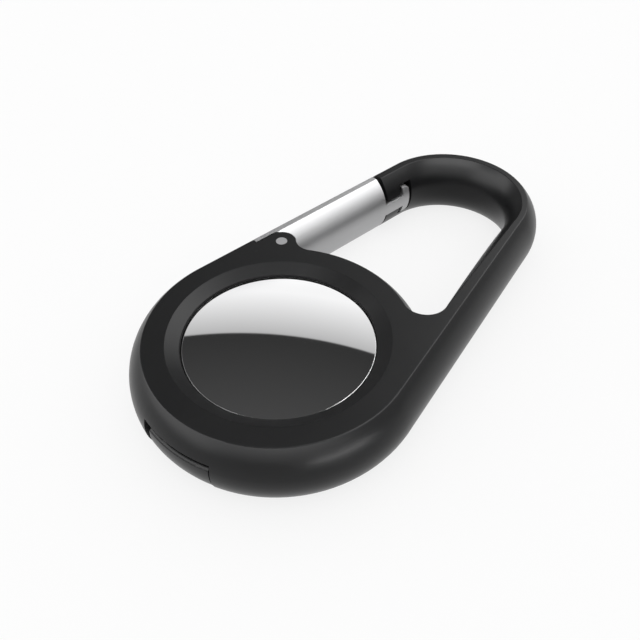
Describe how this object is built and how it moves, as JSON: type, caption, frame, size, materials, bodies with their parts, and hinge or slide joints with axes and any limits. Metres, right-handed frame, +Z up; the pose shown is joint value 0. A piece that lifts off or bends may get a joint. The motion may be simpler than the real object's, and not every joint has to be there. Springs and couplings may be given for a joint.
{
  "type": "tracker tag holder",
  "caption": "Black carabiner holder for a round tracker tag: a round housing with a bevelled window, a sprung metal gate and a clip-in back ring.",
  "frame": {"origin": "middle of the holder's length and width, on its flat underside", "axes": "+Y along the length, from the round housing to the carabiner loop; +Z up, out of the face with the round window; the gate is on the -X side"},
  "size_m": [0.0404, 0.0759, 0.01],
  "materials": {
    "body_plastic": "satin black moulded plastic",
    "ring_plastic": "satin black moulded plastic",
    "gate_metal": "satin silver",
    "pin_steel": "ground steel",
    "spring_steel": "spring wire",
    "shell_plastic": "gloss white",
    "door_steel": "polished stainless steel",
    "frame_plastic": "dark grey",
    "can_steel": "nickel-plated steel",
    "cap_steel": "nickel-plated steel",
    "gasket_plastic": "sealing plastic",
    "contact_gold": "gold-plated spring strip",
    "centre_gold": "gold-plated spring strip",
    "board": "solder-masked laminate",
    "radio_black": "moulded package",
    "ranging_can": "shield can",
    "memory_black": "moulded package",
    "sensor_black": "moulded package",
    "capacitor_tan": "ceramic",
    "crystal_can": "metal can",
    "magnet_nickel": "nickel-plated",
    "cup_steel": "nickel-plated",
    "coil_copper": "enamelled copper",
    "film_gold": "metal film",
    "film_gold_b": "metal film",
    "loop_copper": "enamelled copper"
  },
  "bodies": {
    "holder": {"body_frame": "body_plastic", "gate_pin": "pin_steel", "gate_spring": "spring_steel"},
    "gate": {"gate": "gate_metal"},
    "back_ring": {"back_ring": "ring_plastic"},
    "tag": {"tag_shell": "shell_plastic", "inner_frame": "frame_plastic", "cell_can": "can_steel", "cell_cap": "cap_steel", "cell_gasket": "gasket_plastic", "side_contacts": "contact_gold", "centre_contact": "centre_gold", "circuit_board": "board", "radio_chip": "radio_black", "ranging_module": "ranging_can", "memory_chip": "memory_black", "accelerometer": "sensor_black", "capacitors": "capacitor_tan", "crystal": "crystal_can", "sounder_magnet": "magnet_nickel", "sounder_cup": "cup_steel", "voice_coil": "coil_copper", "ranging_antenna": "film_gold", "short_range_antenna": "film_gold_b", "near_field_coil": "loop_copper"},
    "battery_door": {"battery_door": "door_steel"}
  },
  "joints": [
    {"name": "gate_swing", "type": "hinge", "parent": "holder", "child": "gate", "pos_m": [-0.013, -0.00297, 0.005], "axis": [0, 0, -1], "range_deg": [0, 28], "stiffness_Nm_per_rad": 0.03, "springref_deg": -28.65, "deforming": ["gate_spring"]},
    {"name": "ring_off", "type": "slide", "parent": "holder", "child": "back_ring", "axis": [0, 0, -1], "range_m": [0, 0.02]},
    {"name": "tag_out", "type": "slide", "parent": "holder", "child": "tag", "axis": [0, 0, -1], "range_m": [0, 0.01]},
    {"name": "door_turn", "type": "hinge", "parent": "tag", "child": "battery_door", "pos_m": [0, -0.01777, 0.0082], "axis": [0, 0, 1], "range_deg": [0, 20]}
  ],
  "couplings": [
    {"joint": "tag_out", "follows": "ring_off", "ratio": 0.5}
  ]
}
